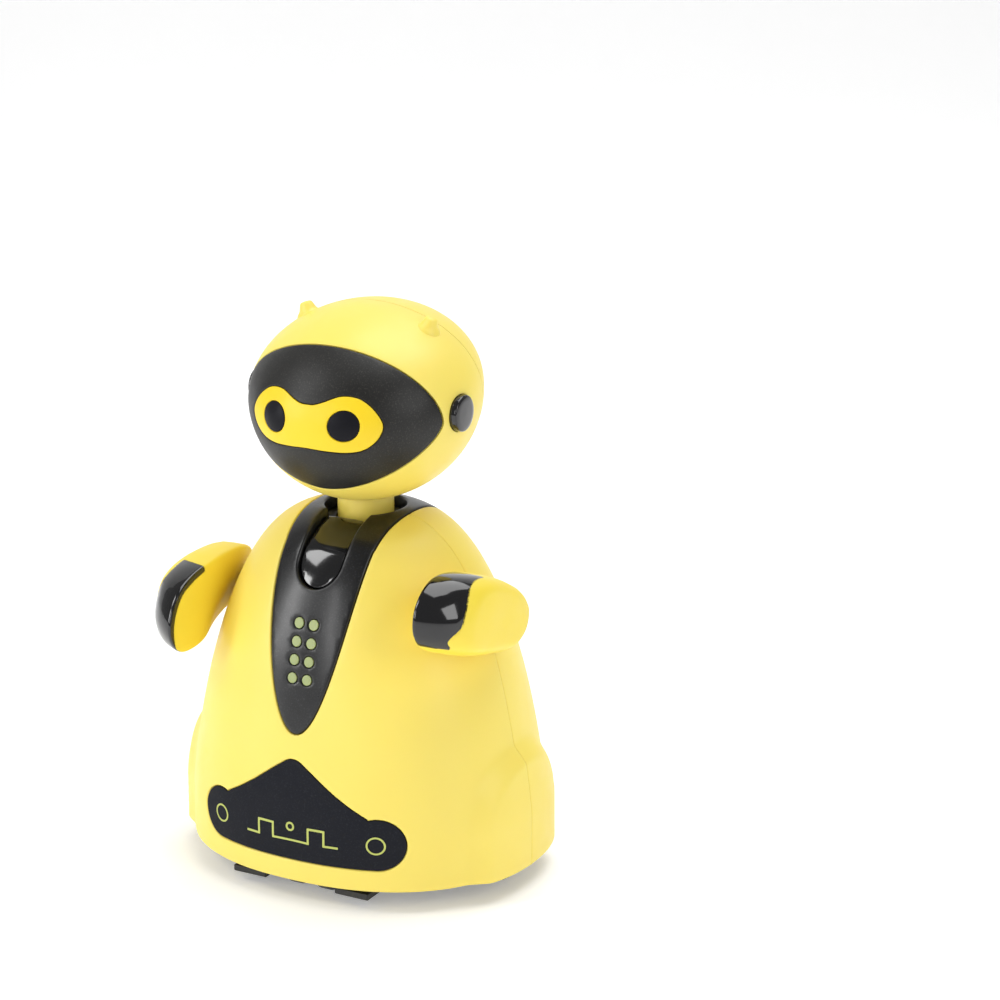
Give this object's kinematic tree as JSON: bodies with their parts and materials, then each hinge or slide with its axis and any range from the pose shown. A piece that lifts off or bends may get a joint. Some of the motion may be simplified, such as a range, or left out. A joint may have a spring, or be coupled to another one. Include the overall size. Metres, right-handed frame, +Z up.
{
  "type": "educational coding robot",
  "caption": "Palm-high educational robot with two geared drive wheels, a turning domed head with a visor, swinging arms, a chest light panel and a sprung button.",
  "frame": {"origin": "on the floor below the middle of the robot's bounding box", "axes": "-Y is the robot's front, +Z up, +X its left"},
  "size_m": [0.0762, 0.062, 0.1139],
  "materials": {
    "yellow_shell": "satin moulded ABS, lemon yellow",
    "deep_yellow_trim": "satin moulded ABS, deeper yellow",
    "satin_black": "fine-textured black ABS",
    "gloss_black": "polished black ABS",
    "plate_grey": "matt blue-grey printed plate",
    "dot_green": "milky pale olive light-guide plastic",
    "rubber": "black moulded rubber",
    "board": "green glass-fibre circuit board",
    "steel": "bright zinc or nickel plate",
    "gear": "natural white acetal",
    "cell": "printed sleeve"
  },
  "bodies": {
    "body": {"front_shell": "yellow_shell", "rear_shell": "yellow_shell", "chest_panel": "satin_black", "light_guide": "dot_green", "button_board": "board", "tact_switch": "gloss_black", "front_plate": "plate_grey", "base_plate": "satin_black", "battery_door": "satin_black", "battery_box": "satin_black", "battery_cell_1": "cell", "battery_cell_2": "cell", "battery_contact_left": "steel", "battery_contact_right": "steel", "door_screw": "steel", "base_screw_left": "steel", "base_screw_right": "steel", "base_screw_rear": "steel", "power_switch_body": "steel", "main_board": "board", "sensor_board": "board", "line_sensor_left": "gloss_black", "line_sensor_right": "gloss_black", "speaker": "steel", "drive_motor_left": "steel", "drive_motor_right": "steel", "gear_bracket_left": "satin_black", "gear_bracket_right": "satin_black", "roller_axle": "steel"},
    "head": {"neck_post": "yellow_shell", "neck_clip": "steel", "head_front_shell": "yellow_shell", "head_rear_shell": "yellow_shell", "visor_mask": "satin_black", "goggle_insert": "deep_yellow_trim", "eye_lens_left": "gloss_black", "eye_lens_right": "gloss_black", "ear_cap_left": "gloss_black", "ear_cap_right": "gloss_black", "eye_board": "board"},
    "left_arm": {"arm_left": "yellow_shell", "arm_cap_left": "gloss_black", "arm_pin_left": "steel"},
    "right_arm": {"arm_right": "yellow_shell", "arm_cap_right": "gloss_black", "arm_pin_right": "steel"},
    "button": {"mode_button": "gloss_black"},
    "switch_slider": {"power_switch_knob": "gloss_black"},
    "left_wheel": {"wheel_gear_left": "gear", "wheel_hub_left": "gloss_black", "tyre_left": "rubber"},
    "right_wheel": {"wheel_gear_right": "gear", "wheel_hub_right": "gloss_black", "tyre_right": "rubber"},
    "left_idler": {"idler_gear_left": "gear"},
    "right_idler": {"idler_gear_right": "gear"},
    "left_motor_shaft": {"motor_pinion_left": "gear"},
    "right_motor_shaft": {"motor_pinion_right": "gear"},
    "left_roller": {"front_roller_left": "rubber"},
    "right_roller": {"front_roller_right": "rubber"}
  },
  "joints": [
    {"name": "head_turn", "type": "hinge", "parent": "body", "child": "head", "pos_m": [0, 0, 0.0745], "axis": [0, 0, 1], "range_deg": [-45, 45]},
    {"name": "left_arm_swing", "type": "hinge", "parent": "body", "child": "left_arm", "pos_m": [0.028, -0.0015, 0.0546], "axis": [1, 0, 0], "range_deg": [-15, 31]},
    {"name": "right_arm_swing", "type": "hinge", "parent": "body", "child": "right_arm", "pos_m": [-0.028, -0.0015, 0.0546], "axis": [1, 0, 0], "range_deg": [-40, 6]},
    {"name": "button_press", "type": "hinge", "parent": "body", "child": "button", "pos_m": [0, -0.008, 0.072], "axis": [1, 0, 0], "range_deg": [0, 1.5], "stiffness_Nm_per_rad": 0.25},
    {"name": "switch_slide", "type": "slide", "parent": "body", "child": "switch_slider", "axis": [1, 0, 0], "range_m": [0, 0.003]},
    {"name": "left_wheel_spin", "type": "hinge", "parent": "body", "child": "left_wheel", "pos_m": [0.0305, 0, 0.012], "axis": [1, 0, 0], "continuous": true},
    {"name": "right_wheel_spin", "type": "hinge", "parent": "body", "child": "right_wheel", "pos_m": [-0.0305, 0, 0.012], "axis": [1, 0, 0], "continuous": true},
    {"name": "left_idler_spin", "type": "hinge", "parent": "body", "child": "left_idler", "pos_m": [0.022, -0.01132, 0.014], "axis": [1, 0, 0], "continuous": true},
    {"name": "left_motor_spin", "type": "hinge", "parent": "body", "child": "left_motor_shaft", "pos_m": [0.02, -0.0182, 0.019], "axis": [1, 0, 0], "continuous": true},
    {"name": "right_idler_spin", "type": "hinge", "parent": "body", "child": "right_idler", "pos_m": [-0.022, -0.01132, 0.014], "axis": [1, 0, 0], "continuous": true},
    {"name": "right_motor_spin", "type": "hinge", "parent": "body", "child": "right_motor_shaft", "pos_m": [-0.02, -0.0182, 0.019], "axis": [1, 0, 0], "continuous": true},
    {"name": "left_roller_spin", "type": "hinge", "parent": "body", "child": "left_roller", "pos_m": [0.0034, -0.0215, 0.003], "axis": [1, 0, 0], "continuous": true},
    {"name": "right_roller_spin", "type": "hinge", "parent": "body", "child": "right_roller", "pos_m": [-0.0034, -0.0215, 0.003], "axis": [1, 0, 0], "continuous": true}
  ],
  "couplings": [
    {"joint": "left_idler_spin", "follows": "left_wheel_spin", "ratio": -3.6},
    {"joint": "left_motor_spin", "follows": "left_wheel_spin", "ratio": 8.64},
    {"joint": "right_idler_spin", "follows": "right_wheel_spin", "ratio": -3.6},
    {"joint": "right_motor_spin", "follows": "right_wheel_spin", "ratio": 8.64}
  ]
}
